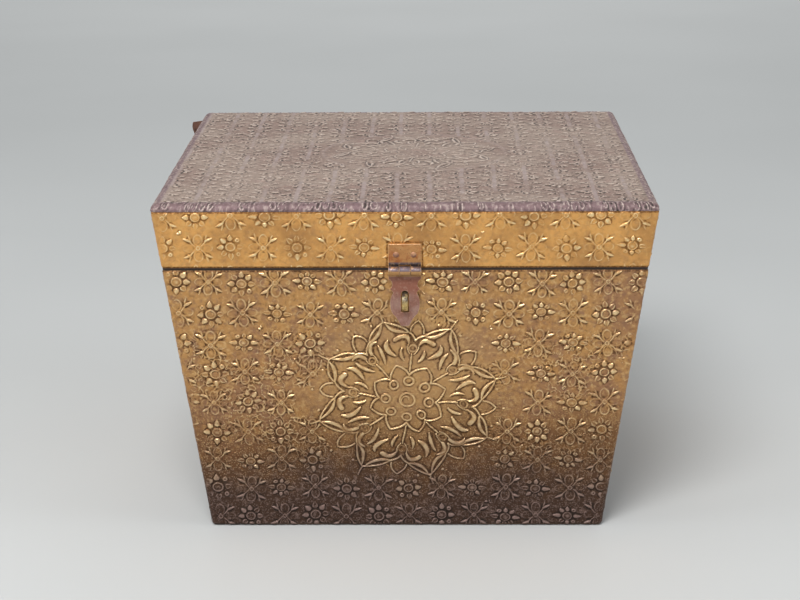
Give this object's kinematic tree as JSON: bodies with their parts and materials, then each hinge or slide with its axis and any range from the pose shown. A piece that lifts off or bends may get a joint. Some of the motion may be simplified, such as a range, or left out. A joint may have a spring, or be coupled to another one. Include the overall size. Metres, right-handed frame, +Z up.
{
  "type": "damchiya chest",
  "caption": "Square wooden chest with outward-leaning sides, clad in embossed brass sheet, with a shallow hinged lid and a scalloped hasp over a staple.",
  "frame": {"origin": "middle of the underside, on the surface that the chest stands on", "axes": "+Z up, +X to the right seen from the front, -Y towards the front, where the hasp is"},
  "size_m": [0.3698, 0.3629, 0.2566],
  "materials": {
    "bare_wood": "sawn and unvarnished, darkened with age",
    "embossed_brass": "thin embossed sheet, worn bright on the raised work and brown in the hollows",
    "lid_top_brass": "embossed sheet under a dull dusty bloom",
    "hasp_brass": "rolled sheet with a mauve-brown tarnish and rubbed edges",
    "staple_brass": "rubbed bright",
    "hinge_steel": "dull, lightly rusted",
    "lug_iron": "brown with rust",
    "fastener_steel": "worn round heads"
  },
  "bodies": {
    "case": {"back_board": "bare_wood", "back_cladding": "embossed_brass", "bottom_board": "bare_wood", "front_board": "bare_wood", "front_cladding": "embossed_brass", "hinge_case_screws": "fastener_steel", "left_board": "bare_wood", "left_cladding": "embossed_brass", "left_hinge_case_leaf": "hinge_steel", "left_hinge_pin": "hinge_steel", "right_board": "bare_wood", "right_cladding": "embossed_brass", "right_hinge_case_leaf": "hinge_steel", "right_hinge_pin": "hinge_steel", "staple": "staple_brass"},
    "lid": {"hasp_leaf": "hasp_brass", "hasp_pin": "staple_brass", "hasp_screws": "fastener_steel", "hinge_lid_screws": "fastener_steel", "left_hinge_lid_leaf": "hinge_steel", "lid_back_cladding": "embossed_brass", "lid_back_rail": "bare_wood", "lid_front_cladding": "embossed_brass", "lid_front_rail": "bare_wood", "lid_left_cladding": "embossed_brass", "lid_left_rail": "bare_wood", "lid_right_cladding": "embossed_brass", "lid_right_rail": "bare_wood", "lid_top_board": "bare_wood", "lid_top_cladding": "lid_top_brass", "lug_nails": "fastener_steel", "right_hinge_lid_leaf": "hinge_steel", "side_lug": "lug_iron"},
    "hasp": {"hasp_strap": "hasp_brass"}
  },
  "joints": [
    {"name": "lid_open", "type": "hinge", "parent": "case", "child": "lid", "pos_m": [0, 0.17739, 0.20721], "axis": [-1, 0, 0], "range_deg": [0, 170]},
    {"name": "hasp_swing", "type": "hinge", "parent": "lid", "child": "hasp", "pos_m": [0, -0.17769, 0.20717], "axis": [-1, 0, 0], "range_deg": [-6, 168]}
  ]
}
